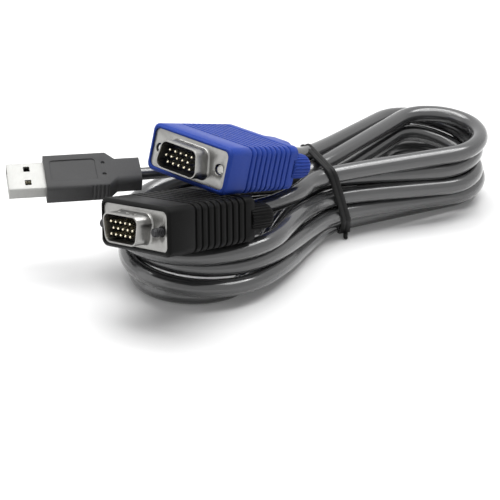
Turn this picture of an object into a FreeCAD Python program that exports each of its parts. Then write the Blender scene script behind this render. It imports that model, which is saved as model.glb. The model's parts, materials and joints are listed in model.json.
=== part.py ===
"""Cable for a keyboard, video and mouse switch.

Two 15-pin video plugs and a USB plug sit on one cable, which is wound into a hank and held
by a twist tie. Lengths are in millimetres, angles in degrees. The hank lies on the plane z = 0.
"""
import FreeCAD, Part
import math
import os

import Sketcher
from FreeCAD import Placement, Rotation, Vector

SIZES = {
    # Video plug: stamped shells, insulator and pins
    "flange_width": 30.8,
    "flange_height": 12.5,
    "flange_corner": 1.9,
    "shell_sheet": 0.5,
    "collar_width": 17.9,
    "collar_height": 9.4,
    "collar_corner": 2.6,
    "collar_slant": 10.0,
    "collar_depth": 5.9,
    "collar_root": 0.7,
    "dimple_diameter": 1.4,
    "dimple_depth": 0.2,
    "dimple_spacing": 4.0,
    "dimple_setback": 3.0,
    "can_width": 19.0,
    "can_height": 10.6,
    "can_corner": 1.6,
    "can_depth": 6.5,
    "insulator_face": 0.2,
    "insulator_fit": 0.05,
    "pin_pitch": 2.29,
    "pin_row": 1.98,
    "pin_diameter": 0.76,
    "pin_reach": 5.5,
    "pin_tail": 2.0,
    # Video plug: captive screws
    "screw_spacing": 25.0,
    "screw_diameter": 2.8,
    "screw_relief": 2.2,
    "screw_thread": 9.0,
    "screw_chamfer": 0.4,
    "screw_seat": 4.6,
    "screw_clearance": 0.3,
    "black_screw_proud": 3.2,
    "blue_screw_proud": -0.5,
    "knob_diameter": 8.2,
    "knob_length": 9.6,
    "knob_round": 2.0,
    "knob_gap": 0.6,
    "knob_recess": 1.5,
    "recess_clearance": 0.5,
    "knob_flutes": 24,
    "flute_diameter": 0.7,
    # Video plug: moulded hood
    "hood_width": 33.6,
    "hood_height": 15.4,
    "hood_corner": 2.4,
    "hood_bevel": 0.8,
    "hood_rear_width": 31.8,
    "hood_rear_height": 14.6,
    "hood_length": 35.4,
    "rim_proud": 0.4,
    "seat_clearance": 0.1,
    "groove_count": 9,
    "groove_start": 10.0,
    "groove_pitch": 2.58,
    "groove_width": 0.85,
    "groove_depth": 0.5,
    "neck_width": 15.0,
    "neck_height": 13.2,
    "neck_corner": 4.0,
    "neck_length": 10.5,
    "neck_tip_height": 11.4,
    "black_neck_tip_width": 9.6,
    "blue_neck_tip_width": 13.0,
    # USB plug
    "usb_shell_width": 12.0,
    "usb_shell_height": 4.5,
    "usb_shell_corner": 0.6,
    "usb_sheet": 0.3,
    "usb_shell_length": 12.1,
    "usb_shell_seat": 5.0,
    "window_start": 5.4,
    "window_length": 2.0,
    "window_width": 2.2,
    "window_spacing": 6.0,
    "tongue_thickness": 1.85,
    "tongue_setback": 0.5,
    "contact_width": 1.0,
    "contact_thickness": 0.2,
    "contact_setback": 1.2,
    "contact_length": 7.5,
    "contact_inner": 2.0,
    "contact_outer": 7.0,
    "usb_hood_width": 15.6,
    "usb_hood_height": 7.4,
    "usb_hood_corner": 1.1,
    "usb_hood_length": 20.4,
    "usb_shoulder": 3.0,
    "usb_neck_width": 11.2,
    "usb_neck_height": 6.8,
    "usb_neck_corner": 2.2,
    "usb_neck_length": 8.0,
    "panel_start": 1.8,
    "panel_length": 14.9,
    "panel_width": 9.6,
    "panel_corner": 1.2,
    "panel_depth": 0.35,
    "mark_diameter": 1.3,
    "mark_depth": 0.5,
    "mark_start": 19.2,
    "mark_spacing": 5.1,
    "rib_count": 6,
    "rib_start": 14.6,
    "rib_pitch": 1.3,
    "rib_gap": 0.6,
    "rib_depth": 0.45,
    # Cable and twist tie
    "cable_diameter": 6.0,
    "usb_cable_diameter": 4.2,
    "strand_slack": 0.2,
    "waist_length": 8.0,
    "loop_root": 3.4,
    "tie_width": 4.2,
    "tie_thickness": 0.8,
    "tie_slack": 0.3,
    "tail_diameter": 1.8,
    "tail_length": 3.6,
    "tail_lift": 0.1,
    "tail_swing": 33.0,
    # Places of the plugs and of the tied waist
    "black_x": -37.63,
    "black_y": -51.22,
    "black_z": 34.21,
    "black_yaw": -48.6,
    "black_pitch": -11.6,
    "black_roll": -11.9,
    "blue_x": -21.17,
    "blue_y": -28.53,
    "blue_z": 46.68,
    "blue_yaw": -40.6,
    "blue_pitch": -17.9,
    "blue_roll": 181.4,
    "usb_x": -81.03,
    "usb_y": -15.41,
    "usb_z": 34.1,
    "usb_yaw": 10.8,
    "usb_pitch": 22.3,
    "usb_roll": 3.2,
    "waist_x": 24.2,
    "waist_y": 12.29,
    "waist_yaw": 25.0,
    "tie_tilt": 15.6,
    "tie_middle": 16.0,
    "blue_cable_offset": -1.2,
    "usb_cable_offset": 4.0,
}

# Slots of the ten strands in the tied waist: across, up. One front and one back slot a turn.
FRONT_SLOTS = [(-6.8, 24.6), (-6.8, 15.7), (-7.2, 9.7), (-3.2, 4.1), (-2.2, 20.2)]
BACK_SLOTS = [(-0.8, 25.6), (5.8, 17.4), (5.8, 11.2), (3.6, 5.0), (6.3, 27.2)]

# Loops of the hank: reach from the waist, first and last edge across, height of the first
# edge, of the far end and of the last edge. A right loop starts at the front.
RIGHT_LOOPS = [
    (60.0, -13.0, 18.0, 25.7, 27.2, 28.7),
    (57.5, -13.0, 19.0, 13.9, 15.2, 20.0),
    (65.0, -6.8, 26.0, 8.6, 8.9, 13.6),
    (64.5, -3.0, 30.5, 3.1, 3.1, 6.0),
    (60.5, -13.5, 23.0, 19.7, 20.9, 25.6),
]
LEFT_LOOPS = [
    (71.0, 18.0, -34.0, 20.0, 16.8, 19.0),
    (69.5, 19.5, -32.0, 14.0, 11.4, 12.8),
    (75.5, 21.5, -34.4, 8.8, 9.3, 6.4),
    (74.0, 16.0, -29.0, 3.4, 3.1, 3.1),
]
LOOP_CORNERS = 5

# The first left loop dips under the blue plug's cable before it swings back, and the last one
# passes behind its neighbour on the way to the waist: along, across, up
FIRST_LOOP_PASS = (-17.0, -1.4, 22.2)
LAST_LOOP_PASS = (-24.0, -10.0, 7.5)

# Free stretches of cable between their first and last points, which the plugs set
BLACK_LEAD_POINTS = [(14.0, -6.7, 24.6)]
USB_LEAD_POINTS = [
    (9.8, 21.6, 26.6),
    (4.6, 28.6, 24.8),
    (-3.8, 31.2, 24.6),
    (-12.2, 28.0, 25.0),
    (-16.6, 20.2, 25.8),
    (-18.6, 11.2, 27.0),
    (-21.6, 2.8, 29.0),
]
BLACK_LEAD_RUN = 10.0
BLUE_LEAD_RUN = 5.0
USB_LEAD_RUN = 8.0
USB_PLUG_RUN = 10.0
ROUNDING = 0.45

doc = FreeCAD.newDocument("kvm_cable")
sheet = doc.addObject("Spreadsheet::Sheet", "dims")
for row, (alias, number) in enumerate(SIZES.items(), start=1):
    sheet.set("A%d" % row, alias)
    sheet.set("B%d" % row, str(number))
    sheet.setAlias("B%d" % row, alias)
doc.recompute()

sub_parts = []


class Dim:
    """A size: its value, and the sheet expression that it is bound to."""

    def __init__(self, text, value):
        self.text = text
        self.value = value

    def join(self, sign, other, value):
        text = other.text if isinstance(other, Dim) else repr(float(other))
        return Dim("(%s %s %s)" % (self.text, sign, text), value)

    def __add__(self, other):
        return self.join("+", other, self.value + number_of(other))

    def __sub__(self, other):
        return self.join("-", other, self.value - number_of(other))

    def __mul__(self, other):
        return self.join("*", other, self.value * number_of(other))

    def __truediv__(self, other):
        return self.join("/", other, self.value / number_of(other))

    def __neg__(self):
        return Dim("(0 - %s)" % self.text, -self.value)


def number_of(size):
    return size.value if isinstance(size, Dim) else size


def dim(alias):
    return Dim("dims." + alias, float(sheet.get(alias)))


def tangent(angle):
    return Dim("tan(%s * 1 deg)" % angle.text, math.tan(math.radians(angle.value)))


def cosine(angle):
    return Dim("cos(%s * 1 deg)" % angle.text, math.cos(math.radians(angle.value)))


class Profile:
    """A sketch on one of its body's own planes, with constraints bound to the sheet."""

    def __init__(self, body, name, role="XZ_Plane", offset=None):
        self.sketch = body.newObject("Sketcher::SketchObject", name)
        plane = [feature for feature in body.Origin.OriginFeatures if feature.Role == role][0]
        self.sketch.AttachmentSupport = [(plane, "")]
        self.sketch.MapMode = "FlatFace"
        if offset is not None:
            self.sketch.setExpression("AttachmentOffset.Base.z", offset.text)

    def fix(self, *terms):
        self.sketch.addConstraint(Sketcher.Constraint(*terms))

    def bind(self, size, *terms):
        index = self.sketch.addConstraint(Sketcher.Constraint(*terms, size.value))
        self.sketch.setExpression("Constraints[%d]" % index, size.text)

    def at(self, geometry, point, across, up):
        """Hold a point at a place from the sketch's origin; None is on the axis."""
        if across is None:
            self.fix("PointOnObject", geometry, point, -2)
        else:
            self.bind(across, "DistanceX", -1, 1, geometry, point)
        if up is None:
            self.fix("PointOnObject", geometry, point, -1)
        else:
            self.bind(up, "DistanceY", -1, 1, geometry, point)

    def circle(self, across, up, diameter):
        centre = Vector(number_of(across or 0), number_of(up or 0), 0)
        ring = self.sketch.addGeometry(Part.Circle(centre, Vector(0, 0, 1), diameter.value / 2))
        self.bind(diameter, "Diameter", ring)
        self.at(ring, 3, across, up)

    def polygon(self, points):
        """A closed outline through points given as sizes across and up."""
        places = [Vector(number_of(x or 0), number_of(y or 0), 0) for x, y in points]
        count = len(places)
        first = self.sketch.GeometryCount
        for i in range(count):
            self.sketch.addGeometry(Part.LineSegment(places[i], places[(i + 1) % count]))
        for i in range(count):
            self.fix("Coincident", first + i, 2, first + (i + 1) % count, 1)
        for i, (across, up) in enumerate(points):
            self.at(first + i, 1, across, up)

    def corners(self, places, radius):
        """Four lines joined by four equal arcs; places are the arc centres, from top right."""
        first = self.sketch.GeometryCount
        turn = math.pi / 2
        for i, centre in enumerate(places):
            circle = Part.Circle(centre, Vector(0, 0, 1), radius.value)
            self.sketch.addGeometry(Part.ArcOfCircle(circle, i * turn, (i + 1) * turn))
        for i, centre in enumerate(places):
            side = Vector(math.cos((i + 1) * turn), math.sin((i + 1) * turn), 0) * radius.value
            self.sketch.addGeometry(Part.LineSegment(centre + side, places[(i + 1) % 4] + side))
        for i in range(4):
            self.fix("Tangent", first + i, 2, first + 4 + i, 1)
            self.fix("Tangent", first + 4 + i, 2, first + (i + 1) % 4, 1)
        for i in range(1, 4):
            self.fix("Equal", first, first + i)
        self.bind(radius, "Radius", first)
        self.fix("Horizontal", first + 4)
        self.fix("Horizontal", first + 6)
        return first

    def rounded_rectangle(self, width, height, radius, across=None):
        """A rounded rectangle about the origin, or with its centre moved across."""
        half_x = number_of(width / 2 - radius)
        half_y = number_of(height / 2 - radius)
        middle = number_of(across or 0)
        places = [Vector(middle + sx * half_x, sy * half_y, 0)
                  for sx, sy in ((1, 1), (-1, 1), (-1, -1), (1, -1))]
        first = self.corners(places, radius)
        self.fix("Vertical", first + 5)
        self.fix("Vertical", first + 7)
        if across is None:
            self.fix("Symmetric", first, 3, first + 2, 3, -1, 1)
            self.bind(width - radius * 2, "DistanceX", first + 1, 3, first, 3)
        else:
            self.bind(across + width / 2 - radius, "DistanceX", -1, 1, first, 3)
            self.bind(across - width / 2 + radius, "DistanceX", -1, 1, first + 1, 3)
            self.bind(height / 2 - radius, "DistanceY", -1, 1, first, 3)
        self.bind(height - radius * 2, "DistanceY", first + 2, 3, first + 1, 3)

    def d_shape(self, width, height, radius, slant):
        """A D outline: the wide side on top, the two ends leaning in towards the bottom."""
        lean = tangent(slant)
        reach = width / 2 - radius * lean - radius / cosine(slant)
        low = reach - (height - radius * 2) * lean
        top = height / 2 - radius
        places = [Vector(reach.value, top.value, 0), Vector(-reach.value, top.value, 0),
                  Vector(-low.value, -top.value, 0), Vector(low.value, -top.value, 0)]
        first = self.corners(places, radius)
        self.at(first, 3, reach, top)
        self.bind(-reach, "DistanceX", -1, 1, first + 1, 3)
        self.bind(-low, "DistanceX", -1, 1, first + 2, 3)
        self.bind(-top, "DistanceY", -1, 1, first + 2, 3)
        self.bind(low, "DistanceX", -1, 1, first + 3, 3)


def new_body(label, place):
    body = doc.addObject("PartDesign::Body", label)
    body.Label = label
    body.Placement = place
    sub_parts.append(body)
    return body


def pad(body, name, profile, length, away=True):
    """Extrude a profile: towards the cable on the front plane, or along the plane's normal."""
    feature = body.newObject("PartDesign::Pad", name)
    feature.Profile = profile.sketch
    feature.setExpression("Length", length.text)
    feature.Reversed = away
    doc.recompute()
    return feature


def pocket(body, name, profile, depth=None, flip=False):
    """Cut a profile to a depth, or right through, and see that it removed something."""
    before = body.Shape.Volume
    feature = body.newObject("PartDesign::Pocket", name)
    feature.Profile = profile.sketch
    feature.Reversed = flip
    if depth is None:
        feature.Type = "ThroughAll"
    else:
        feature.setExpression("Length", depth.text)
    doc.recompute()
    if body.Shape.Volume >= before:
        raise RuntimeError("%s cuts nothing from %s" % (name, body.Label))
    return feature


def loft(body, name, first, *others):
    feature = body.newObject("PartDesign::AdditiveLoft", name)
    feature.Profile = first.sketch
    feature.Sections = [other.sketch for other in others]
    feature.Ruled = True
    doc.recompute()
    return feature


def fillet(body, name, radius, wanted):
    """Round the edges of the body for which wanted(edge) holds."""
    base = body.Tip
    edges = ["Edge%d" % (i + 1) for i, edge in enumerate(base.Shape.Edges) if wanted(edge)]
    if not edges:
        raise RuntimeError("%s finds no edge on %s" % (name, body.Label))
    feature = body.newObject("PartDesign::Fillet", name)
    feature.Base = (base, edges)
    feature.setExpression("Radius", radius.text)
    doc.recompute()
    return feature


def pattern(body, kind, original, axis_role, **settings):
    feature = body.newObject("PartDesign::" + kind, original.Name + "_pattern")
    feature.Originals = [original]
    axis = [item for item in body.Origin.OriginFeatures if item.Role == axis_role][0]
    if kind == "PolarPattern":
        feature.Axis = (axis, [""])
    else:
        feature.Direction = (axis, [""])
    for setting, size in settings.items():
        feature.setExpression(setting, size.text)
    body.Tip = feature
    doc.recompute()
    return feature


def solid_part(label, shape, place=None):
    part = doc.addObject("Part::Feature", label)
    part.Label = label
    part.Shape = shape
    if place is not None:
        part.Placement = place
    sub_parts.append(part)
    return part


def plug_place(name):
    """Where a plug lies: turned about its depth, tipped, then turned about the vertical."""
    turn = Rotation(Vector(0, 0, 1), number_of(dim(name + "_yaw")))
    turn = turn.multiply(Rotation(Vector(1, 0, 0), number_of(dim(name + "_pitch"))))
    turn = turn.multiply(Rotation(Vector(0, 1, 0), number_of(dim(name + "_roll"))))
    base = [number_of(dim(name + axis)) for axis in ("_x", "_y", "_z")]
    return Placement(Vector(*base), turn)


def within(place, x, y, z):
    return place.multiply(Placement(Vector(x, y, z), Rotation()))


def point_in(place, x, y, z):
    return place.multVec(Vector(x, y, z))


def flange_outline(profile):
    """The flange shared by both stamped shells, with its two screw holes."""
    profile.rounded_rectangle(dim("flange_width"), dim("flange_height"), dim("flange_corner"))
    hole = dim("screw_diameter") + dim("screw_clearance") * 2
    for side in (-1, 1):
        profile.circle(dim("screw_spacing") * (side / 2), None, hole)


def collar_sizes(inset):
    """Width, height and corner of the D outline set in from the outside of the collar."""
    slant = dim("collar_slant")
    narrower = inset * (tangent(slant) + Dim("1", 1.0) / cosine(slant)) * 2
    return (dim("collar_width") - narrower, dim("collar_height") - inset * 2,
            dim("collar_corner") - inset, slant)


def front_shell(name, place):
    """Stamped front shell: flange with the drawn D collar that guards the pins."""
    body = new_body(name + "_front_shell", place)
    plate = Profile(body, name + "_front_flange")
    flange_outline(plate)
    plate.d_shape(*collar_sizes(dim("shell_sheet")))
    pad(body, name + "_front_plate", plate, dim("shell_sheet"))
    ring = Profile(body, name + "_collar_ring")
    ring.d_shape(*collar_sizes(dim("shell_sheet") * 0))
    ring.d_shape(*collar_sizes(dim("shell_sheet")))
    pad(body, name + "_collar", ring, dim("collar_depth"), away=False)
    half_width = number_of(dim("collar_width")) / 2
    half_height = number_of(dim("collar_height")) / 2
    sheet_inset = number_of(dim("shell_sheet")) / 2

    def at_root(edge):
        box = edge.BoundBox
        reach = max(abs(box.ZMax), abs(box.ZMin))
        level = abs(box.YMin) < 1e-6 and abs(box.YMax) < 1e-6
        inside = box.XMax < half_width + 1e-6 and box.XMin > -half_width - 1e-6
        inner = reach < half_height - sheet_inset and box.ZLength < 1e-6
        return level and inside and not inner and reach > sheet_inset

    fillet(body, name + "_collar_root", dim("collar_root"), at_root)
    dents = Profile(body, name + "_dimple_rings", "XY_Plane", dim("collar_height") / 2)
    for across in (-dim("dimple_spacing"), None, dim("dimple_spacing")):
        dents.circle(across, -dim("dimple_setback"), dim("dimple_diameter"))
    pocket(body, name + "_dimples", dents, dim("dimple_depth"))


def can_inner(gap):
    inset = (dim("shell_sheet") + gap) * 2
    return dim("can_width") - inset, dim("can_height") - inset, dim("can_corner") - dim("shell_sheet")


def rear_shell(name, place):
    """Stamped rear shell: second flange, with a can round the insulator's back."""
    body = new_body(name + "_rear_shell", place)
    plate = Profile(body, name + "_rear_flange", offset=-dim("shell_sheet"))
    flange_outline(plate)
    plate.rounded_rectangle(*can_inner(dim("shell_sheet") * 0))
    pad(body, name + "_rear_plate", plate, dim("shell_sheet"))
    ring = Profile(body, name + "_can_ring", offset=-dim("shell_sheet"))
    ring.rounded_rectangle(dim("can_width"), dim("can_height"), dim("can_corner"))
    ring.rounded_rectangle(*can_inner(dim("shell_sheet") * 0))
    pad(body, name + "_can", ring, dim("can_depth"))


def pin_places():
    """Fifteen pins in three rows of five, the middle row half a pitch across."""
    places = []
    for row in (1, 0, -1):
        shift = 0.25 if row == 0 else -0.25
        for column in range(-2, 3):
            places.append((dim("pin_pitch") * (column + shift), dim("pin_row") * row))
    return places


def insulator(name, place):
    """Moulded insulator: a D boss in the collar's root and a block in the rear can."""
    body = new_body(name + "_insulator", place)
    block = Profile(body, name + "_block_outline", offset=-dim("shell_sheet"))
    block.rounded_rectangle(*can_inner(dim("insulator_fit")))
    pad(body, name + "_block", block, dim("can_depth"))
    boss = Profile(body, name + "_boss_outline", offset=-dim("insulator_face"))
    boss.d_shape(*collar_sizes(dim("shell_sheet") + dim("insulator_fit")))
    pad(body, name + "_boss", boss, dim("shell_sheet") - dim("insulator_face"))
    holes = Profile(body, name + "_pin_holes", offset=-dim("insulator_face"))
    for across, up in pin_places():
        holes.circle(across, up if up.value else None, dim("pin_diameter"))
    pocket(body, name + "_pin_bores", holes)


def pins(name, place):
    """Fifteen turned pins with rounded tips, one solid each."""
    radius = number_of(dim("pin_diameter")) / 2
    tip = -number_of(dim("pin_reach"))
    tail = number_of(dim("shell_sheet") + dim("can_depth") + dim("pin_tail"))
    solids = []
    for across, up in pin_places():
        start = Vector(across.value, tip + radius, up.value)
        shank = Part.makeCylinder(radius, tail - tip - radius, start, Vector(0, 1, 0))
        nose = Part.makeSphere(radius, start, Vector(0, -1, 0), 0, 90)
        solids.append(shank.fuse(nose).removeSplitter())
    solid_part(name + "_pins", Part.makeCompound(solids), place)


def hood_size(name, depth):
    """Width or height of the tapered hood at a depth behind the flange."""
    start = dim("hood_bevel") - dim("rim_proud")
    share = (depth - start) / (dim("hood_length") - start)
    front = dim("hood_" + name)
    return front - (front - dim("hood_rear_" + name)) * share


def hood(name, place):
    """Moulded hood: a tapered grip with ribs, a neck for the cable and a recess for the shells."""
    body = new_body(name + "_hood", place)
    bevel = dim("hood_bevel")
    lip = Profile(body, name + "_hood_lip", offset=dim("rim_proud"))
    lip.rounded_rectangle(dim("hood_width") - bevel * 2, dim("hood_height") - bevel * 2,
                          dim("hood_corner") - bevel)
    front = Profile(body, name + "_hood_front", offset=dim("rim_proud") - bevel)
    front.rounded_rectangle(dim("hood_width"), dim("hood_height"), dim("hood_corner"))
    rear = Profile(body, name + "_hood_rear", offset=-dim("hood_length"))
    rear.rounded_rectangle(dim("hood_rear_width"), dim("hood_rear_height"), dim("hood_corner"))
    loft(body, name + "_grip", lip, front, rear)
    root = Profile(body, name + "_neck_root", offset=-dim("hood_length"))
    root.rounded_rectangle(dim("neck_width"), dim("neck_height"), dim("neck_corner"))
    tip = Profile(body, name + "_neck_tip", offset=-(dim("hood_length") + dim("neck_length")))
    tip.rounded_rectangle(dim(name + "_neck_tip_width"), dim("neck_tip_height"), dim("neck_corner"))
    loft(body, name + "_neck", root, tip)
    for i in range(int(dim("groove_count").value)):
        depth = dim("groove_start") + dim("groove_pitch") * i
        ring = Profile(body, "%s_groove_ring_%d" % (name, i), offset=-depth)
        inset = dim("groove_depth") * 2
        ring.rounded_rectangle(hood_size("width", depth) - inset, hood_size("height", depth) - inset,
                               dim("hood_corner") - dim("groove_depth"))
        ring.circle(None, None, dim("hood_width") * 2)
        pocket(body, "%s_groove_%d" % (name, i), ring, dim("groove_width"))
    gap = dim("seat_clearance") * 2
    seat = Profile(body, name + "_seat_outline", offset=dim("rim_proud"))
    seat.rounded_rectangle(dim("flange_width") + gap, dim("flange_height") + gap,
                           dim("flange_corner") + dim("seat_clearance"))
    pocket(body, name + "_seat", seat, dim("rim_proud") + dim("shell_sheet") * 2)
    cavity = Profile(body, name + "_cavity_outline", offset=dim("rim_proud"))
    cavity.rounded_rectangle(dim("can_width") + gap, dim("can_height") + gap, dim("can_corner"))
    pocket(body, name + "_cavity", cavity, dim("rim_proud") + dim("shell_sheet") + dim("can_depth")
           + dim("pin_tail") + dim("seat_clearance"))
    bores = Profile(body, name + "_bore_rings", offset=dim("rim_proud"))
    for side in (-1, 1):
        bores.circle(dim("screw_spacing") * (side / 2), None,
                     dim("screw_diameter") + dim("screw_clearance") * 2)
    pocket(body, name + "_bores", bores)
    recesses = Profile(body, name + "_recess_rings", offset=dim("knob_recess") - dim("hood_length"))
    for side in (-1, 1):
        recesses.circle(dim("screw_spacing") * (side / 2), None,
                        dim("knob_diameter") + dim("recess_clearance") * 2)
    pocket(body, name + "_recesses", recesses, dim("knob_recess") + dim("recess_clearance"))


def knob_start():
    """How far behind the flange the knobs begin, inside their recesses."""
    return dim("hood_length") - dim("knob_recess") + dim("knob_gap")


def screw_length(name):
    return dim(name + "_screw_proud") + knob_start() + dim("screw_seat")


def jackscrew(name, side, place):
    """Turned captive screw: a threaded tip, a thinner shank and a seat inside its knob."""
    body = new_body("%s_jackscrew_%s" % (name, side), place)
    outline = Profile(body, "%s_%s_screw_profile" % (name, side), "XY_Plane")
    radius = dim("screw_diameter") / 2
    relief = dim("screw_relief") / 2
    length = screw_length(name)
    seat = length - dim("screw_seat")
    outline.polygon([
        (None, None),
        (radius - dim("screw_chamfer"), None),
        (radius, dim("screw_chamfer")),
        (radius, dim("screw_thread")),
        (relief, dim("screw_thread") + dim("screw_chamfer")),
        (relief, seat - dim("screw_chamfer")),
        (radius, seat),
        (radius, length),
        (None, length),
    ])
    turned = body.newObject("PartDesign::Revolution", "%s_%s_screw" % (name, side))
    turned.Profile = outline.sketch
    turned.ReferenceAxis = (outline.sketch, ["V_Axis"])
    turned.Angle = 360
    doc.recompute()


def thumb_knob(name, side, place):
    """Moulded thumb knob: a fluted barrel with a domed end, over the screw's seat."""
    body = new_body("%s_knob_%s" % (name, side), place)
    outline = Profile(body, "%s_%s_knob_profile" % (name, side), "XY_Plane")
    radius = dim("knob_diameter") / 2
    bore = dim("screw_diameter") / 2
    outline.polygon([
        (bore, None),
        (radius, None),
        (radius, dim("knob_length")),
        (None, dim("knob_length")),
        (None, dim("screw_seat")),
        (bore, dim("screw_seat")),
    ])
    barrel = body.newObject("PartDesign::Revolution", "%s_%s_barrel" % (name, side))
    barrel.Profile = outline.sketch
    barrel.ReferenceAxis = (outline.sketch, ["V_Axis"])
    barrel.Angle = 360
    doc.recompute()
    end = number_of(dim("knob_length"))
    fillet(body, "%s_%s_dome" % (name, side), dim("knob_round"),
           lambda edge: edge.BoundBox.YMin > end - 1e-6 and edge.BoundBox.XLength > 1e-6)
    flute = Profile(body, "%s_%s_flute_ring" % (name, side))
    flute.circle(None, radius, dim("flute_diameter"))
    cut = pocket(body, "%s_%s_flute" % (name, side), flute, dim("knob_length"))
    pattern(body, "PolarPattern", cut, "Y_Axis", Occurrences=dim("knob_flutes"))


def video_plug(name):
    """One video plug with its shells, insulator, pins, hood and two captive screws."""
    place = plug_place(name)
    front_shell(name, place)
    rear_shell(name, place)
    insulator(name, place)
    pins(name, place)
    hood(name, place)
    tip = -number_of(dim(name + "_screw_proud"))
    knob = number_of(knob_start())
    for side, sign in (("left", -1), ("right", 1)):
        across = sign * number_of(dim("screw_spacing")) / 2
        jackscrew(name, side, within(place, across, tip, 0))
        thumb_knob(name, side, within(place, across, knob, 0))
    return place


def usb_plug():
    """The USB plug: folded shell, tongue, four contacts and a moulded hood."""
    place = plug_place("usb")
    shell = new_body("usb_shell", place)
    wall = dim("usb_sheet") * 2
    tube = Profile(shell, "usb_tube_outline", "YZ_Plane")
    tube.rounded_rectangle(dim("usb_shell_width"), dim("usb_shell_height"), dim("usb_shell_corner"))
    inner = (dim("usb_shell_width") - wall, dim("usb_shell_height") - wall,
             dim("usb_shell_corner") - dim("usb_sheet"))
    tube.rounded_rectangle(*inner)
    pad(shell, "usb_tube", tube, dim("usb_shell_length") + dim("usb_shell_seat"), away=False)
    windows = Profile(shell, "usb_window_outline", "XY_Plane", dim("usb_shell_height"))
    for side in (-1, 1):
        middle = dim("window_spacing") * (side / 2)
        half = dim("window_width") / 2
        start = dim("window_start")
        end = start + dim("window_length")
        windows.polygon([(start, middle - half), (end, middle - half),
                         (end, middle + half), (start, middle + half)])
    pocket(shell, "usb_windows", windows)

    tongue = new_body("usb_tongue", place)
    low = -(dim("usb_shell_height") / 2 - dim("usb_sheet"))
    half = inner[0] / 2 - inner[2]
    slab = Profile(tongue, "usb_slab_outline", "YZ_Plane", dim("tongue_setback"))
    slab.polygon([(-half, low), (half, low), (half, low + dim("tongue_thickness")),
                  (-half, low + dim("tongue_thickness"))])
    depth = dim("usb_shell_length") + dim("usb_shell_seat")
    pad(tongue, "usb_slab", slab, depth - dim("tongue_setback"), away=False)

    top = number_of(low + dim("tongue_thickness"))
    strip = [number_of(dim("contact_" + size)) for size in ("length", "width", "thickness")]
    strips = []
    for spacing in ("contact_inner", "contact_outer"):
        for sign in (-1, 1):
            across = sign * number_of(dim(spacing)) / 2 - strip[1] / 2
            corner = Vector(number_of(dim("contact_setback")), across, top)
            strips.append(Part.makeBox(*strip, corner))
    solid_part("usb_contacts", Part.makeCompound(strips), place)

    grip = new_body("usb_hood", place)
    start = dim("usb_shell_length")
    shoulder = start + dim("usb_hood_length")
    neck = shoulder + dim("usb_shoulder")
    block_size = (dim("usb_hood_width"), dim("usb_hood_height"), dim("usb_hood_corner"))
    neck_size = (dim("usb_neck_width"), dim("usb_neck_height"), dim("usb_neck_corner"))
    block = Profile(grip, "usb_block_outline", "YZ_Plane", start)
    block.rounded_rectangle(*block_size)
    pad(grip, "usb_block", block, dim("usb_hood_length"), away=False)
    wide = Profile(grip, "usb_shoulder_wide", "YZ_Plane", shoulder)
    wide.rounded_rectangle(*block_size)
    narrow = Profile(grip, "usb_shoulder_narrow", "YZ_Plane", neck)
    narrow.rounded_rectangle(*neck_size)
    loft(grip, "usb_shoulders", wide, narrow)
    tail = Profile(grip, "usb_neck_outline", "YZ_Plane", neck)
    tail.rounded_rectangle(*neck_size)
    pad(grip, "usb_neck", tail, dim("usb_neck_length"), away=False)
    hollow = Profile(grip, "usb_seat_outline", "YZ_Plane", start)
    hollow.rounded_rectangle(dim("usb_shell_width"), dim("usb_shell_height"), dim("usb_shell_corner"))
    pocket(grip, "usb_seat", hollow, dim("usb_shell_seat"), flip=True)
    face = dim("usb_hood_height") / 2
    panel = Profile(grip, "usb_panel_outline", "XY_Plane", face)
    panel.rounded_rectangle(dim("panel_length"), dim("panel_width"), dim("panel_corner"),
                            start + dim("panel_start") + dim("panel_length") / 2)
    pocket(grip, "usb_panel", panel, dim("panel_depth"))
    marks = Profile(grip, "usb_mark_rings", "XY_Plane", face)
    for side in (-1, 1):
        marks.circle(start + dim("mark_start"), dim("mark_spacing") * (side / 2), dim("mark_diameter"))
    pocket(grip, "usb_marks", marks, dim("mark_depth"))
    ribs = Profile(grip, "usb_rib_outline", "XY_Plane", dim("usb_hood_height"))
    edge = dim("usb_hood_width") / 2
    first = start + dim("rib_start")
    for side in (-1, 1):
        inside = (edge - dim("rib_depth")) * side
        outside = (edge + dim("rib_depth")) * side
        ribs.polygon([(first, inside), (first + dim("rib_gap"), inside),
                      (first + dim("rib_gap"), outside), (first, outside)])
    cut = pocket(grip, "usb_ribs", ribs)
    span = dim("rib_pitch") * (dim("rib_count") - 1)
    pattern(grip, "LinearPattern", cut, "X_Axis", Length=span, Occurrences=dim("rib_count"))
    return place


def route_wire(name, points):
    """Straight runs joined by tangent arcs, each arc as large as its two runs allow."""
    edges = []
    radii = []
    start = points[0]
    for i in range(1, len(points) - 1):
        before = points[i] - points[i - 1]
        after = points[i + 1] - points[i]
        trim = ROUNDING * min(before.Length, after.Length)
        before.normalize()
        after.normalize()
        half_turn = before.getAngle(after) / 2
        inward = (after - before).normalize()
        radius = trim / math.tan(half_turn)
        radii.append(radius)
        enter = points[i] - before * trim
        leave = points[i] + after * trim
        middle = points[i] + inward * (radius / math.cos(half_turn) - radius)
        edges.append(Part.LineSegment(start, enter).toShape())
        edges.append(Part.Arc(enter, middle, leave).toShape())
        start = leave
    edges.append(Part.LineSegment(start, points[-1]).toShape())
    print(name, "radii", [round(radius, 1) for radius in radii])
    return Part.Wire(edges)


def tube(name, points, diameter):
    """A round tube along a route, compared with its section times its length."""
    path = route_wire(name, points)
    ring = Part.makeCircle(diameter / 2, points[0], points[1] - points[0])
    shape = path.makePipeShell([Part.Wire([ring])], True, False)
    wanted = math.pi * diameter ** 2 / 4 * path.Length
    print(name, "length", round(path.Length, 1), "volume share", round(shape.Volume / wanted, 4))
    return shape


def waist_place():
    base = Vector(number_of(dim("waist_x")), number_of(dim("waist_y")), 0)
    return Placement(base, Rotation(Vector(0, 0, 1), number_of(dim("waist_yaw"))))


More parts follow.
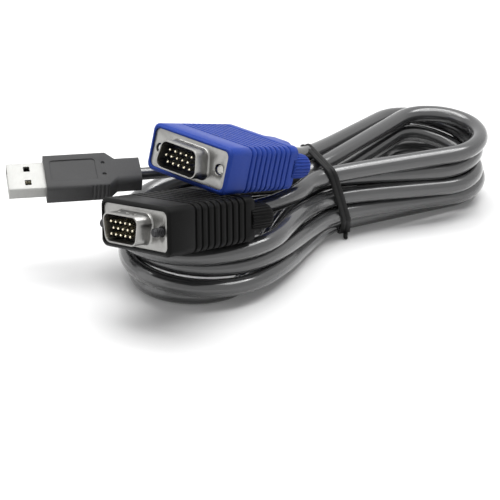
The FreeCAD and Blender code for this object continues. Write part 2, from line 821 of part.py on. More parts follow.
def loop_corners(sign, loop, start, end):
    """Corners of one loop: a round end, with straight sides that run to the waist."""
    reach, first_edge, last_edge, first_height, end_height, last_height = loop
    near = sign * first_edge
    far = sign * last_edge
    radius = (far - near) / 2
    middle = (far + near) / 2
    centre = reach - radius

    def touch(place, side):
        along = sign * place.x - centre
        across = sign * place.y - middle
        swing = math.acos(radius / math.hypot(across, along))
        return math.remainder(math.atan2(across, along) - side * swing, 2 * math.pi)

    first = touch(start, -1)
    step = (touch(end, 1) - first) / LOOP_CORNERS
    outer = radius / math.cos(step / 2)
    corners = []
    for i in range(LOOP_CORNERS):
        angle = first + (i + 0.5) * step
        share = 2 * i / (LOOP_CORNERS - 1)
        if share <= 1:
            height = first_height + (end_height - first_height) * share
        else:
            height = end_height + (last_height - end_height) * (share - 1)
        along = centre + outer * math.cos(angle)
        across = middle + outer * math.sin(angle)
        corners.append(Vector(sign * along, sign * across, height))
    return corners


def slot_point(slot, along=0.0):
    """A strand's place beside the tie, which leans along the hank as it rises."""
    lean = math.tan(math.radians(number_of(dim("tie_tilt"))))
    return Vector(along - lean * (slot[1] - number_of(dim("tie_middle"))), slot[0], slot[1])


def leaning_slab(start, end):
    """All that lies between two leaning planes across the waist."""
    span = 20 * number_of(dim("cable_diameter"))
    slab = Part.makeBox(end - start, span, span, Vector(start, -span / 2, -span / 2))
    middle = Vector(0, 0, number_of(dim("tie_middle")))
    slab.Placement = Placement(middle, Rotation(Vector(0, 1, 0), -number_of(dim("tie_tilt"))))
    return slab


def waist_outline(margin):
    """The outline round all the strands in the waist, in the plane across the hank."""
    slots = sorted(FRONT_SLOTS + BACK_SLOTS)

    def half_hull(places):
        hull = []
        for place in places:
            while len(hull) > 1:
                (ax, ay), (bx, by) = hull[-2], hull[-1]
                if (bx - ax) * (place[1] - ay) - (by - ay) * (place[0] - ax) > 0:
                    break
                hull.pop()
            hull.append(place)
        return hull[:-1]

    hull = half_hull(slots) + half_hull(slots[::-1])
    ring = [Vector(0, across, up) for across, up in hull]
    return Part.makePolygon(ring + ring[:1]).makeOffset2D(margin)


def waist_margin():
    return number_of(dim("cable_diameter") / 2 + dim("tie_slack"))


def waist_prism(margin):
    """The strands' outline drawn out along the hank on both sides of the waist."""
    reach = 6 * number_of(dim("cable_diameter"))
    prism = Part.Face(waist_outline(margin)).extrude(Vector(2 * reach, 0, 0))
    prism.translate(Vector(-reach, 0, 0))
    return prism


def hank():
    """The tied hank as one solid: nine loops that meet in the waist under the tie."""
    strand = number_of(dim("cable_diameter") - dim("strand_slack"))
    length = number_of(dim("waist_length"))
    core = waist_prism(waist_margin()).common(leaning_slab(-length / 2, length / 2))
    root = number_of(dim("loop_root"))
    loops = []
    for i, loop in enumerate(RIGHT_LOOPS):
        start = slot_point(FRONT_SLOTS[i], root)
        end = slot_point(BACK_SLOTS[i], root)
        route = [start] + loop_corners(1, loop, start, end) + [end]
        loops.append(tube("right loop %d" % (i + 1), route, strand))
    for i, loop in enumerate(LEFT_LOOPS):
        away = [slot_point(BACK_SLOTS[i], -root)]
        home = [slot_point(FRONT_SLOTS[i + 1], -root)]
        if i == 0:
            away.append(Vector(*FIRST_LOOP_PASS))
        if i == len(LEFT_LOOPS) - 1:
            home.insert(0, Vector(*LAST_LOOP_PASS))
        route = away + loop_corners(-1, loop, away[-1], home[0]) + home
        loops.append(tube("left loop %d" % (i + 1), route, strand))
    solid_part("cable_hank", core.multiFuse(loops), waist_place())


def twist_tie():
    """A flat tie round the waist, with its twisted ends laid along the floor at the front."""
    width = number_of(dim("tie_width"))
    outer = waist_margin() + number_of(dim("tie_thickness"))
    band = waist_prism(outer).cut(waist_prism(waist_margin())).common(leaning_slab(-width / 2, width / 2))
    radius = number_of(dim("tail_diameter")) / 2
    low = min(FRONT_SLOTS, key=lambda slot: slot[1])
    height = radius + number_of(dim("tail_lift"))
    reach = math.sqrt((waist_margin() + radius + number_of(dim("tail_lift"))) ** 2 - (low[1] - height) ** 2)
    start = slot_point((low[0] - reach, height))
    heading = Vector(-math.sin(math.radians(number_of(dim("tail_swing")))),
                     -math.cos(math.radians(number_of(dim("tail_swing")))), 0)
    tail = Part.makeCylinder(radius, number_of(dim("tail_length")), start, heading)
    solid_part("twist_tie", band.fuse(tail), waist_place())


def leads(black, blue, usb):
    """The free stretches: each plug's cable to the waist, and the thinner USB cable."""
    neck = number_of(dim("hood_length") + dim("neck_length"))
    thick = number_of(dim("cable_diameter"))
    waist = waist_place()
    half = number_of(dim("waist_length")) / 2
    beyond = leaning_slab(-half, 20 * thick)
    beyond.Placement = waist.multiply(beyond.Placement)
    blue_across = number_of(dim("blue_cable_offset"))
    jobs = (("black", black, 0.0, BLACK_LEAD_RUN, BLACK_LEAD_POINTS, FRONT_SLOTS[0]),
            ("blue", blue, blue_across, BLUE_LEAD_RUN, [], BACK_SLOTS[-1]))
    for name, plug, across, run, between, slot in jobs:
        route = [point_in(plug, across, neck, 0), point_in(plug, across, neck + run, 0)]
        route += [Vector(*point) for point in between]
        route += [waist.multVec(slot_point(slot))]
        solid_part(name + "_lead", tube(name + " lead", route, thick).cut(beyond).Solids[0])
    across = number_of(dim("usb_cable_offset"))
    usb_end = number_of(dim("usb_shell_length") + dim("usb_hood_length") + dim("usb_shoulder")
                        + dim("usb_neck_length"))
    route = [point_in(blue, across, neck, 0), point_in(blue, across, neck + USB_LEAD_RUN, 0)]
    route += [Vector(*point) for point in USB_LEAD_POINTS]
    route += [point_in(usb, usb_end + USB_PLUG_RUN, 0, 0), point_in(usb, usb_end, 0, 0)]
    solid_part("usb_lead", tube("usb lead", route, number_of(dim("usb_cable_diameter"))))


def main():
    black = video_plug("black")
    blue = video_plug("blue")
    usb = usb_plug()
    hank()
    twist_tie()
    leads(black, blue, usb)
    doc.recompute()
    for item in doc.Objects:
        if "Invalid" in item.State or "Error" in item.State:
            raise RuntimeError("%s failed: %s" % (item.Label, item.State))
    for part in sub_parts:
        if part.Shape.isNull() or not part.Shape.isValid():
            raise RuntimeError("%s has no valid shape" % part.Label)
    os.makedirs("parts", exist_ok=True)
    for part in sub_parts:
        part.Shape.exportStep(os.path.join("parts", part.Label + ".step"))


main()
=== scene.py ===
"""Looks of a tied cable for a keyboard, video and mouse switch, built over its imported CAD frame."""

import json
import math

import bmesh
import bpy
from bpy.props import FloatProperty, FloatVectorProperty, PointerProperty
from bpy.types import Operator, Panel, PropertyGroup
from mathutils import Matrix, Vector


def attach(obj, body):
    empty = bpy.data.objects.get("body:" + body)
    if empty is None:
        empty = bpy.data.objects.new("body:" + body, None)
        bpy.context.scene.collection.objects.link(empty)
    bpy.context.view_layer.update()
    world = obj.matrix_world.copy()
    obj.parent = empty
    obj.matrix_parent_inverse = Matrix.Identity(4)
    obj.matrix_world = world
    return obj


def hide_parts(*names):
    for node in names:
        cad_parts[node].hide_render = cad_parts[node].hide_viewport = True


bl_info = {
    "name": "Tied switch cable",
    "version": (1, 0, 0),
    "blender": (4, 5, 0),
    "location": "View3D > Sidebar > Cable",
    "description": "Dresses the plugs, lays the cables and ties the hank",
    "category": "Object",
}

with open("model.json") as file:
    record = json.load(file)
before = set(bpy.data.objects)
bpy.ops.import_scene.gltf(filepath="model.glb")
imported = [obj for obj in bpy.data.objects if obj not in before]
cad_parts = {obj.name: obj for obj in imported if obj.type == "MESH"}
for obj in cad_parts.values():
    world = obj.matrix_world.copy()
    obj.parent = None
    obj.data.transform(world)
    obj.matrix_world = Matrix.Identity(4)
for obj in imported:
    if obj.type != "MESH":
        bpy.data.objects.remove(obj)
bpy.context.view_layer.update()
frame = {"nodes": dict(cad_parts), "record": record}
MM = 0.001
ROOT = "cable"

# Copies of CAD nodes: points this near are one, and faces this flat are one
MERGE_DISTANCE = 0.002 * MM
FLAT_ANGLE = math.radians(0.4)

# Edges sharper than this are rounded, by these widths
SHARP_ANGLE = math.radians(32)
MOULDED_EDGE = 0.3 * MM
STAMPED_EDGE = 0.12 * MM
KNOB_EDGE = 0.1 * MM
FOLDED_EDGE = 0.08 * MM

# Tied waist of the hank: its place on the floor, and where its axis points
WAIST = Matrix.Translation((24.2 * MM, 12.29 * MM, 0)) @ Matrix.Rotation(math.radians(25), 4, "Z")

# The tie leans along the hank as it rises, about a point this far across and up, in millimetres
TIE_LEAN = math.tan(math.radians(15.6))
TIE_ACROSS = -0.5
TIE_MIDDLE = 16.0

# Half the width of the tie's solid, and the top of its twisted ends, which keep their shape
TIE_HALF = 2.1
TIE_ENDS_TOP = 2.3

# Cuts on each side of the tie's middle, so that it can be given the form of two cords
TIE_CUTS = 5
CUT_DISTANCE = 0.001 * MM

# Each strand runs straight through the tie for this far on both sides, in millimetres
TIE_GRIP = 6.0

# Strands in the waist: across and up, in millimetres, one front and one back slot a turn
FRONT_SLOTS = [(-6.8, 24.6), (-6.8, 15.7), (-7.2, 9.7), (-3.2, 4.1), (-2.2, 20.2)]
BACK_SLOTS = [(-0.8, 25.6), (5.8, 17.4), (5.8, 11.2), (3.6, 5.0), (6.3, 27.2)]

# Loops: reach, first and last edge across, height of the first edge, the far end and the last edge
RIGHT_LOOPS = [
    (60.0, -13.4, 18.0, 25.7, 27.2, 28.7),
    (58.8, -13.4, 19.0, 13.8, 15.0, 22.2),
    (63.4, -9.0, 26.0, 7.0, 9.3, 12.6),
    (64.5, -3.0, 30.5, 3.1, 3.1, 6.0),
    (60.5, -12.2, 25.5, 19.7, 21.4, 26.4),
]
LEFT_LOOPS = [
    (75.5, 22.0, -34.0, 21.8, 16.6, 19.6),
    (71.6, 19.5, -32.0, 15.6, 13.2, 12.8),
    (75.5, 18.5, -34.8, 9.4, 8.9, 6.8),
    (73.2, 11.0, -29.0, 3.1, 3.1, 3.1),
]
LOOP_CORNERS = 5

# Points that the first and the last left loop go through beside the waist: along, across, up
FIRST_LOOP_PASS = (-17.0, -1.4, 22.2)
FIRST_LOOP_HOME = (-22.5, -20.4, 19.4)
LAST_LOOP_PASS = (-27.0, -9.5, 10.8)

# Free stretches, in millimetres: black plug to waist, waist to blue plug, blue plug to USB plug
BLACK_LEAD = [(-3.9, -21.49, 24.98), (3.44, -15.01, 22.97), (14.0, -6.7, 23.9)]
BLUE_LEAD = [(11.26, 7.46, 31.01), (8.16, 3.85, 32.54)]
USB_LEAD = [
    (4.24, 7.26, 32.67),
    (9.19, 13.04, 30.21),
    (9.8, 21.6, 26.6),
    (4.6, 28.6, 24.8),
    (-3.8, 31.2, 24.6),
    (-12.2, 28.0, 25.6),
    (-16.6, 20.2, 27.2),
    (-18.6, 11.2, 28.4),
    (-21.6, 2.8, 29.6),
    (-28.77, -4.29, 31.34),
    (-38.54, -6.37, 31.85),
]

# Colours without a setting
INSULATOR_BLACK = (0.01, 0.009, 0.008)
INSULATOR_NAVY = (0.008, 0.011, 0.03)
NICKEL = (0.32, 0.317, 0.307)
GOLD = (0.95, 0.88, 0.68)
BRIGHT_STEEL = (0.42, 0.42, 0.408)
SCREW_STEEL = (0.7, 0.69, 0.66)
SCREW_BLACK = (0.045, 0.045, 0.047)
TIE_BLACK = (0.011, 0.011, 0.011)
FLOOR_WHITE = (0.92, 0.92, 0.92)

THREAD_PITCH = 0.64 * MM
FINISH = "_finish"

# Camera: its place in millimetres, and its shift in parts of the picture
CAMERA_PLACE = Vector((-2.03, -518.1, 262.6))
CAMERA_SHIFT = (-1.73 / 500, 1.0 / 500)

# Lamps: place, width and depth in metres, and watts
LAMPS = {
    "overhead": ((0.04, 0.08, 0.8), (1.2, 0.6), 8.2),
    "strip": ((0.04, 0.16, 0.8), (1.2, 0.06), 2.4),
    "front_strip": ((0.04, -0.2, 0.8), (1.2, 0.04), 1.0),
    "left_card": ((-0.9, -0.3, 0.35), (0.7, 0.7), 1.0),
}
SKY_FILL = 0.18

# The floor: half its side in metres, and its glow to the eye from near to far, which is painted
# light: faint near the object, so the floor round it stays shaded, and full white far off
FLOOR_HALF = 3.0
NEAR, FAR = 0.3, 0.9
NEAR_PAINTED_GLOW, FAR_PAINTED_GLOW = 0.09, 1.0


class CableSettings(PropertyGroup):
    """Sizes and colours of the cable and its plugs."""

    thick: FloatProperty(
        name="Cable diameter", description="Outside diameter of the thick cable",
        default=6.0 * MM, min=1 * MM, unit="LENGTH")
    thin: FloatProperty(
        name="USB cable diameter", description="Outside diameter of the thinner cable",
        default=4.2 * MM, min=1 * MM, unit="LENGTH")
    tie_width: FloatProperty(
        name="Tie width", description="Width of the corded twist tie",
        default=3.4 * MM, min=1 * MM, unit="LENGTH")
    tie_depth: FloatProperty(
        name="Tie groove", description="Depth of the groove between the tie's two cords",
        default=0.6 * MM, min=0, unit="LENGTH")
    blue: FloatVectorProperty(
        name="Blue plastic", description="Colour of the blue video plug's hood",
        default=(0.013, 0.052, 0.35), size=3, subtype="COLOR", min=0, max=1)
    black: FloatVectorProperty(
        name="Black plastic", description="Colour of the black video plug's hood",
        default=(0.004, 0.004, 0.004), size=3, subtype="COLOR", min=0, max=1)
    grey: FloatVectorProperty(
        name="USB plastic", description="Colour of the USB plug's hood",
        default=(0.066, 0.066, 0.067), size=3, subtype="COLOR", min=0, max=1)
    jacket: FloatVectorProperty(
        name="Cable jacket", description="Colour of the cables",
        default=(0.05, 0.0505, 0.052), size=3, subtype="COLOR", min=0, max=1)


class StageSettings(PropertyGroup):
    """Camera."""

    lens: FloatProperty(
        name="Lens", description="Focal length for a 36 mm wide sensor",
        default=122.04, min=1, unit="CAMERA")
    pitch: FloatProperty(
        name="Pitch", description="How far the camera looks down",
        default=math.radians(26.96), subtype="ANGLE")
    roll: FloatProperty(
        name="Roll", description="Turn of the camera about its line of sight",
        default=math.radians(-1.23), subtype="ANGLE")


class Signal:
    """A shader socket that takes part in Python expressions."""

    def __init__(self, owner, socket):
        self.owner = owner
        self.socket = socket

    def math(self, operation, *others):
        values = dict(enumerate((self, *others)))
        return self.owner.node("ShaderNodeMath", {"operation": operation}, values)

    def __add__(self, other):
        return self.math("ADD", other)

    def __mul__(self, other):
        return self.math("MULTIPLY", other)

    __radd__ = __add__
    __rmul__ = __mul__


class NodeTree:
    """Nodes of a material or a world."""

    def __init__(self, tree):
        self.tree = tree

    def node(self, kind, settings=None, sockets=None, output=0):
        made = self.tree.nodes.new(kind)
        for name, value in (settings or {}).items():
            setattr(made, name, value)
        for name, value in (sockets or {}).items():
            self.connect(made.inputs[name], value)
        return Signal(self, made.outputs[output])

    def connect(self, socket, value):
        if isinstance(value, Signal):
            self.tree.links.new(value.socket, socket)
        elif hasattr(value, "__len__") and len(value) == 3 and socket.type == "RGBA":
            socket.default_value = (*value, 1.0)
        else:
            socket.default_value = value

    def seen(self):
        """One for rays that show a thing to the eye: straight, mirrored or through glass."""
        straight, mirrored, clear = (
            self.node("ShaderNodeLightPath", output=kind)
            for kind in ("Is Camera Ray", "Is Glossy Ray", "Is Transmission Ray"))
        return straight + mirrored + clear


class Surface(NodeTree):
    """A material: one Principled shader and the nodes that feed it."""

    def __init__(self, name, **sockets):
        self.material = bpy.data.materials.new(name)
        self.material.use_nodes = True
        super().__init__(self.material.node_tree)
        self.shader = self.tree.nodes["Principled BSDF"]
        for socket, value in sockets.items():
            self.feed(socket.replace("_", " ").title().replace("Ior", "IOR"), value)

    def feed(self, name, value):
        self.connect(self.shader.inputs[name], value)

    def place(self, stretch=(1, 1, 1), source="Object"):
        where = self.node("ShaderNodeTexCoord", output=source)
        return self.node("ShaderNodeMapping", None, {"Vector": where, "Scale": stretch})

    def noise(self, scale, detail=2.0, rough=0.5, stretch=(1, 1, 1), source="Object"):
        return self.node("ShaderNodeTexNoise", None, {
            "Vector": self.place(stretch, source), "Scale": scale, "Detail": detail,
            "Roughness": rough})

    def ridges(self, pitch, axis):
        """Even ridges along an axis of the object."""
        along = self.node("ShaderNodeVectorMath", {"operation": "DOT_PRODUCT"},
                          {0: self.place(), 1: axis}, "Value")
        return (along * (2 * math.pi / pitch)).math("SINE")

    def blend(self, factor, first, second):
        """Mix two colours, whose sockets on the node are the seventh and the eighth."""
        return self.node("ShaderNodeMix", {"data_type": "RGBA"},
                         {0: factor, 6: first, 7: second}, 2)

    def spread(self, value, low, high):
        """Stretch a 0 to 1 signal to a range."""
        return value * (high - low) + low

    def bump(self, height, strength, distance):
        self.feed("Normal", self.node("ShaderNodeBump", None, {
            "Strength": strength, "Distance": distance, "Height": height}))


def paler(colour, amount):
    """A colour moved towards white."""
    return tuple(channel + (1 - channel) * amount for channel in colour)


def darker(colour, amount):
    """A colour moved towards black."""
    return tuple(channel * (1 - amount) for channel in colour)


def moulded_plastic(name, colour, gloss, grain_depth=0.14, mottle=0.03):
    """Satin moulded plastic: a fine spark-eroded grain, with slow changes of tone and gloss."""
    made = Surface(name + FINISH, specular_ior_level=0.08)
    cloud = made.noise(scale=60, detail=3)
    grain = made.noise(scale=2300, detail=3, rough=0.65)
    tone = cloud * 0.55 + grain * 0.45
    made.feed("Base Color", made.blend(tone, darker(colour, 0.3), paler(colour, mottle)))
    made.feed("Roughness", made.spread(tone, gloss - 0.1, gloss + 0.12))
    made.bump(grain, grain_depth, 0.09 * MM)


def plated_metal(name, colour, gloss, haze):
    """Dull plated sheet: faint rolling marks and cloudy stains in the plating."""
    made = Surface(name + FINISH, metallic=1.0)
    rolling = made.noise(scale=1500, stretch=(1, 0.12, 1))
    cloud = made.noise(scale=210, detail=4, rough=0.7)
    stain = made.node("ShaderNodeMapRange", None,
                      {"Value": cloud, "From Min": 0.3, "From Max": 0.62})
    made.feed("Base Color", made.blend(stain, darker(colour, haze), colour))
    made.feed("Roughness", made.spread(cloud * 0.6 + rolling * 0.4, gloss - 0.1, gloss + 0.16))
    made.bump(rolling + cloud, 0.1, 0.05 * MM)


def threaded_metal(name, colour, axis):
    """A cut thread, shown as even ridges along the screw."""
    made = Surface(name + FINISH, metallic=1.0, base_color=colour)
    ridges = made.ridges(THREAD_PITCH, axis)
    made.feed("Roughness", made.spread(ridges * 0.5 + 0.5, 0.42, 0.26))
    made.bump(ridges, 0.9, 0.16 * MM)


def cable_jacket(name, colour):
    """Glossy extruded jacket: drawn lines along it, and slight waves left by the wires inside."""
    made = Surface(name + FINISH, specular_ior_level=0.6, coat_weight=0.8, coat_roughness=0.08)
    lines = made.noise(scale=1.0, stretch=(55, 34, 1), source="UV")
    haze = made.noise(scale=48, detail=3)
    waves = made.noise(scale=150, detail=1)
    tone = haze * 0.6 + lines * 0.4
    made.feed("Base Color", made.blend(tone, darker(colour, 0.3), paler(colour, 0.015)))
    made.feed("Roughness", made.spread(haze * 0.4 + lines * 0.6, 0.1, 0.34))
    made.bump(waves * 0.6 + lines * 0.4, 0.16, 0.3 * MM)


def screw_axis(plug):
    """The line that a plug's screws turn about, from its joints."""
    turn = plug + "_thumbscrew_left_turn"
    joints = frame["record"]["behaviour"]["joints"]
    return next(joint["axis"] for joint in joints if joint["name"] == turn)


def finishes():
    """Every finish by its name, which is its record slot's or its own, made once."""
    settings = bpy.context.scene.cable_settings
    if not bpy.data.materials.get("plated_shell" + FINISH):
        moulded_plastic("blue_plastic", tuple(settings.blue), gloss=0.42)
        moulded_plastic("black_plastic", tuple(settings.black), gloss=0.42, mottle=0.004)
        moulded_plastic("usb_plastic", tuple(settings.grey), gloss=0.5, grain_depth=0.45)
        moulded_plastic("insulator", INSULATOR_BLACK, gloss=0.45)
        moulded_plastic("navy_insulator", INSULATOR_NAVY, gloss=0.45)
        moulded_plastic("tie_plastic", TIE_BLACK, gloss=0.34, grain_depth=0.06)
        plated_metal("plated_shell", NICKEL, gloss=0.28, haze=0.22)
        plated_metal("gold_contacts", GOLD, gloss=0.25, haze=0.12)
        plated_metal("usb_steel", BRIGHT_STEEL, gloss=0.66, haze=0.1)
        threaded_metal("screw_steel", SCREW_STEEL, screw_axis("blue"))
        threaded_metal("screw_black", SCREW_BLACK, screw_axis("black"))
        cable_jacket("cable_jacket", tuple(settings.jacket))
    return {finish.name.removesuffix(FINISH): finish for finish in bpy.data.materials
            if finish.name.endswith(FINISH)}


def give(piece, slot, finish=None):
    """Put a finish on a piece: the one given, or else the one made for its record slot."""
    piece.data.materials.clear()
    piece.data.materials.append(finishes()[finish or slot])


def add_piece(name, data, body=ROOT):
    """A piece at the origin that moves with a body."""
    piece = bpy.data.objects.new(name, data)
    bpy.context.scene.collection.objects.link(piece)
    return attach(piece, body)


def slot_of(node):
    """The record slot that a CAD node's material comes from."""
    subparts = frame["record"]["subparts"]
    return next(part["material_slot"] for part in subparts if part["node"] == node)


def body_of(node):
    """The body that a CAD node moves with."""
    bodies = frame["record"]["behaviour"]["bodies"]
    return next(body for body, nodes in bodies.items() if node in nodes)


def merged_copy(node):
    """A CAD node's shape with its loose triangles joined and its flat faces made whole."""
    shape = bmesh.new()
    shape.from_mesh(frame["nodes"][node].data)
    bmesh.ops.remove_doubles(shape, verts=shape.verts, dist=MERGE_DISTANCE)
    bmesh.ops.dissolve_limit(
        shape, angle_limit=FLAT_ANGLE, verts=shape.verts, edges=shape.edges)
    return shape


def stand_in(node, shape, ending, finish=None):
    """A smooth piece of the given shape that takes a CAD node's place."""
    data = bpy.data.meshes.new(node + ending)
    shape.to_mesh(data)
    shape.free()
    for face in data.polygons:
        face.use_smooth = True
    piece = add_piece(node + ending, data, body_of(node))
    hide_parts(node)
    give(piece, slot_of(node), finish)
    return piece


def rounded_copy(node, width, finish=None):
    """A copy of a CAD node with its sharp edges rounded, as moulding and stamping leave them."""
    piece = stand_in(node, merged_copy(node), "_rounded", finish)
    bevel = piece.modifiers.new("rounding", "BEVEL")
    bevel.width = width
    bevel.segments = 2
    bevel.limit_method = "ANGLE"
    bevel.angle_limit = SHARP_ANGLE
    bevel.harden_normals = True


def waist_point(along, across, up):
    """A place given along, across and up from the waist, in millimetres."""
    return WAIST @ Vector((along * MM, across * MM, up * MM))


def slot_place(slot, along=0.0):
    """A strand's place under the leaning tie, or beside it."""
    return (along - TIE_LEAN * (slot[1] - TIE_MIDDLE), *slot)


def loop_points(sign, loop, start, end, lead_in=True, lead_out=True):
    """A loop's corners round its far end, and a point on each side as far off as its neighbour."""
    reach, first_edge, last_edge, first_height, end_height, last_height = loop
    near = sign * first_edge
    far = sign * last_edge
    radius = (far - near) / 2
    middle = (far + near) / 2
    centre = reach - radius

    def touch(place, side):
        """The angle at which a line from a place touches the loop's round end."""
        along = sign * place[0] - centre
        across = sign * place[1] - middle
        swing = math.acos(radius / math.hypot(across, along))
        return math.remainder(math.atan2(across, along) - side * swing, 2 * math.pi)

    first = touch(start, -1)
    step = (touch(end, 1) - first) / LOOP_CORNERS
    outer = radius / math.cos(step / 2)
    corners = []
    for i in range(LOOP_CORNERS):
        angle = first + (i + 0.5) * step
        share = 2 * i / (LOOP_CORNERS - 1)
        if share <= 1:
            height = first_height + (end_height - first_height) * share
        else:
            height = end_height + (last_height - end_height) * (share - 1)
        corners.append(Vector((sign * (centre + outer * math.cos(angle)),
                               sign * (middle + outer * math.sin(angle)), height)))
    run = 2 * radius * math.tan(step / 2)
    points = list(corners)
    if lead_in:
        points.insert(0, corners[0] + (Vector(start) - corners[0]).normalized() * run)
    if lead_out:
        points.append(corners[-1] + (Vector(end) - corners[-1]).normalized() * run)
    return points


def hank_points():
    """Control points of the thick cable through all its turns, from the black lead to the blue."""
    points = []
    last = len(RIGHT_LOOPS) - 1
    for turn, loop in enumerate(RIGHT_LOOPS):
        front = slot_place(FRONT_SLOTS[turn], TIE_GRIP)
        back = slot_place(BACK_SLOTS[turn], 0.0 if turn in (0, last) else TIE_GRIP)
        away = slot_place(BACK_SLOTS[turn], -TIE_GRIP)
        points += [slot_place(FRONT_SLOTS[turn], -TIE_GRIP), front]
        points += [*loop_points(1, loop, front, back), back]
        if turn == last:
            break
        left = LEFT_LOOPS[turn]
        home = slot_place(FRONT_SLOTS[turn + 1], -TIE_GRIP)
        if turn == 0:
            points.append(FIRST_LOOP_PASS)
            points += loop_points(-1, left, FIRST_LOOP_PASS, home, lead_in=False, lead_out=False)
            points.append(FIRST_LOOP_HOME)
        elif turn == last - 1:
            points.append(away)
            points += loop_points(-1, left, away, LAST_LOOP_PASS, lead_out=False)
            points.append(LAST_LOOP_PASS)
        else:
            points.append(away)
            points += loop_points(-1, left, away, home, lead_out=False)
    return [waist_point(*point) for point in points]


def cable_curve(name, points, diameter):
    """A round cable on one smooth spline, whose points carry its radius in metres."""
    data = bpy.data.curves.new(name, "CURVE")
    data.dimensions = "3D"
    data.bevel_depth = 1.0
    data.bevel_resolution = 6
    data.use_fill_caps = True
    line = data.splines.new("NURBS")
    line.points.add(len(points) - 1)
    for control, point in zip(line.points, points):
        control.co = (*point, 1.0)
        control.radius = diameter / 2
    line.order_u = 3
    line.use_endpoint_u = True
    line.resolution_u = 10
    return add_piece(name, data)


class CABLE_OT_dress_video_plugs(Operator):
    """Round the edges of both video plugs and give their pieces finishes"""

    bl_idname = "cable.dress_video_plugs"
    bl_label = "Dress video plugs"

    def execute(self, context):
        for plug, screw, insulator in (("black", "screw_black", "insulator"),
                                       ("blue", "screw_steel", "navy_insulator")):
            rounded_copy(plug + "_hood", MOULDED_EDGE)
            rounded_copy(plug + "_front_shell", STAMPED_EDGE)
            for side in ("left", "right"):
                rounded_copy("%s_knob_%s" % (plug, side), KNOB_EDGE)
                give(frame["nodes"]["%s_jackscrew_%s" % (plug, side)], screw)
            give(frame["nodes"][plug + "_insulator"], slot_of(plug + "_insulator"), insulator)
            for node in (plug + "_pins", plug + "_rear_shell"):
                give(frame["nodes"][node], slot_of(node))
        return {"FINISHED"}


class CABLE_OT_dress_usb_plug(Operator):
    """Round the edges of the USB plug and give its pieces finishes"""

    bl_idname = "cable.dress_usb_plug"
    bl_label = "Dress USB plug"

    def execute(self, context):
        rounded_copy("usb_hood", MOULDED_EDGE, "usb_plastic")
        rounded_copy("usb_shell", FOLDED_EDGE)
        for node in ("usb_tongue", "usb_contacts"):
            give(frame["nodes"][node], slot_of(node))
        return {"FINISHED"}


class CABLE_OT_lay_cables(Operator):
    """Lay the thick cable through the hank and the thin cable to the USB plug"""

    bl_idname = "cable.lay_cables"
    bl_label = "Lay cables"

    def execute(self, context):
        settings = context.scene.cable_settings
        black_lead = [Vector(point) * MM for point in BLACK_LEAD]
        blue_lead = [Vector(point) * MM for point in BLUE_LEAD]
        thick = cable_curve("thick_cable", black_lead + hank_points() + blue_lead, settings.thick)
        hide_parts("cable_hank", "black_lead", "blue_lead")
        give(thick, "cable_jacket")
        usb_lead = [Vector(point) * MM for point in USB_LEAD]
        thin = cable_curve("usb_cable", usb_lead, settings.thin)
        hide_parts("usb_lead")
        give(thin, "cable_jacket")
        return {"FINISHED"}


class CABLE_OT_tie_hank(Operator):
    """Put the twist tie round the waist of the hank"""

    bl_idname = "cable.tie_hank"
    bl_label = "Tie hank"

    def execute(self, context):
        settings = context.scene.cable_settings
        half = TIE_HALF * MM
        axis = WAIST.to_3x3() @ Vector((1.0, 0.0, TIE_LEAN)).normalized()
        middle = waist_point(0.0, TIE_ACROSS, TIE_MIDDLE)
        shape = merged_copy("twist_tie")
        for cut in range(-TIE_CUTS, TIE_CUTS + 1):
            bmesh.ops.bisect_plane(
                shape, geom=shape.verts[:] + shape.edges[:] + shape.faces[:], dist=CUT_DISTANCE,
                plane_co=middle + axis * (half * cut / (TIE_CUTS + 1)), plane_no=axis)
        shape.normal_update()
        # The middle and both edges sink, which leaves two round cords side by side
        for vert in shape.verts:
            off = (vert.co - middle).dot(axis)
            out = vert.normal - axis * vert.normal.dot(axis)
            around = vert.co - middle - axis * off
            if vert.co.z > TIE_ENDS_TOP * MM and out.dot(around) > 0 and out.length > 0.1:
                place = min(abs(2 * abs(off) / half - 1), 1.0)
                sunk = settings.tie_depth * (1 - math.sqrt(1 - place * place))
                vert.co -= out.normalized() * sunk
        # The whole tie is drawn in to its width
        for vert in shape.verts:
            off = (vert.co - middle).dot(axis)
            vert.co -= axis * off * (1 - settings.tie_width / (2 * half))
        stand_in("twist_tie", shape, "_corded")
        return {"FINISHED"}


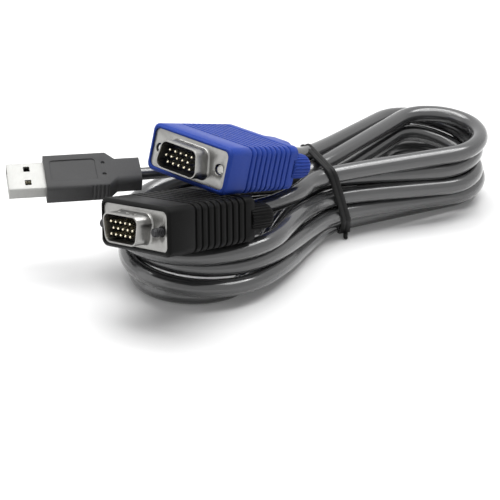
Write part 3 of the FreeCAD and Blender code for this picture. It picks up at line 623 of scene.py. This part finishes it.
class CABLE_OT_set_stage(Operator):
    """Set the floor, the lights and the camera"""

    bl_idname = "cable.set_stage"
    bl_label = "Set stage"

    def execute(self, context):
        scene = context.scene
        scene.view_settings.view_transform = "Standard"
        self.lay_floor(scene)
        self.light_world(scene)
        for name, (place, size, power) in LAMPS.items():
            self.add_lamp(scene, name, place, size, power)
        self.aim_camera(scene)
        return {"FINISHED"}

    def lay_floor(self, scene):
        shape = bmesh.new()
        bmesh.ops.create_grid(shape, x_segments=1, y_segments=1, size=FLOOR_HALF)
        data = bpy.data.meshes.new("floor")
        shape.to_mesh(data)
        shape.free()
        floor = bpy.data.objects.new("floor", data)
        scene.collection.objects.link(floor)
        paint = Surface("floor_paint", roughness=0.25, specular_ior_level=0.3,
                        base_color=FLOOR_WHITE, emission_strength=1.0)
        away = paint.node("ShaderNodeVectorMath", {"operation": "LENGTH"},
                          {0: paint.place()}, "Value")
        # Painted shade and light: the floor glows faintly near the object and fully far off
        painted_glow = paint.node("ShaderNodeMapRange", None, {
            "Value": away, "From Min": NEAR, "From Max": FAR,
            "To Min": NEAR_PAINTED_GLOW, "To Max": FAR_PAINTED_GLOW})
        paint.feed("Emission Color", paint.seen() * painted_glow)
        data.materials.append(paint.material)

    def light_world(self, scene):
        world = bpy.data.worlds.new("studio")
        scene.world = world
        world.use_nodes = True
        sky = NodeTree(world.node_tree)
        background = world.node_tree.nodes["Background"]
        sky.connect(background.inputs["Color"], (1.0, 1.0, 1.0))
        sky.connect(background.inputs["Strength"], sky.node(
            "ShaderNodeMapRange", None, {"Value": sky.seen(), "To Min": SKY_FILL}))

    def add_lamp(self, scene, name, place, size, power):
        lamp = bpy.data.objects.new(name, bpy.data.lights.new(name, "AREA"))
        lamp.data.shape = "RECTANGLE"
        lamp.data.size, lamp.data.size_y = size
        lamp.data.energy = power
        lamp.location = place
        lamp.rotation_euler = (-Vector(place)).to_track_quat("-Z", "Y").to_euler()
        scene.collection.objects.link(lamp)

    def aim_camera(self, scene):
        settings = scene.stage_settings
        camera = bpy.data.objects.new("camera", bpy.data.cameras.new("camera"))
        scene.collection.objects.link(camera)
        camera.data.sensor_width = 36.0
        camera.data.lens = settings.lens
        camera.data.shift_x, camera.data.shift_y = CAMERA_SHIFT
        camera.data.clip_start = 0.01
        camera.matrix_world = (Matrix.Translation(CAMERA_PLACE * MM)
                               @ Matrix.Rotation(math.pi / 2 - settings.pitch, 4, "X")
                               @ Matrix.Rotation(settings.roll, 4, "Z"))
        scene.camera = camera


class CABLE_PT_panel(Panel):
    """The cable's settings and building steps"""

    bl_idname = "CABLE_PT_panel"
    bl_label = "Tied switch cable"
    bl_space_type = "VIEW_3D"
    bl_region_type = "UI"
    bl_category = "Cable"

    def draw(self, context):
        for group in (context.scene.cable_settings, context.scene.stage_settings):
            for name in group.__annotations__:
                self.layout.prop(group, name)
        for step in STEPS:
            self.layout.operator(step.bl_idname)


STEPS = (
    CABLE_OT_dress_video_plugs,
    CABLE_OT_dress_usb_plug,
    CABLE_OT_lay_cables,
    CABLE_OT_tie_hank,
    CABLE_OT_set_stage,
)
CLASSES = (CableSettings, StageSettings, *STEPS, CABLE_PT_panel)


def register():
    for made in CLASSES:
        bpy.utils.register_class(made)
    bpy.types.Scene.cable_settings = PointerProperty(type=CableSettings)
    bpy.types.Scene.stage_settings = PointerProperty(type=StageSettings)


def unregister():
    del bpy.types.Scene.stage_settings
    del bpy.types.Scene.cable_settings
    for made in reversed(CLASSES):
        bpy.utils.unregister_class(made)


def main():
    register()
    bpy.ops.cable.dress_video_plugs()
    bpy.ops.cable.dress_usb_plug()
    bpy.ops.cable.lay_cables()
    bpy.ops.cable.tie_hank()
    bpy.ops.cable.set_stage()
    bpy.context.view_layer.update()


if __name__ == "__main__":
    main()
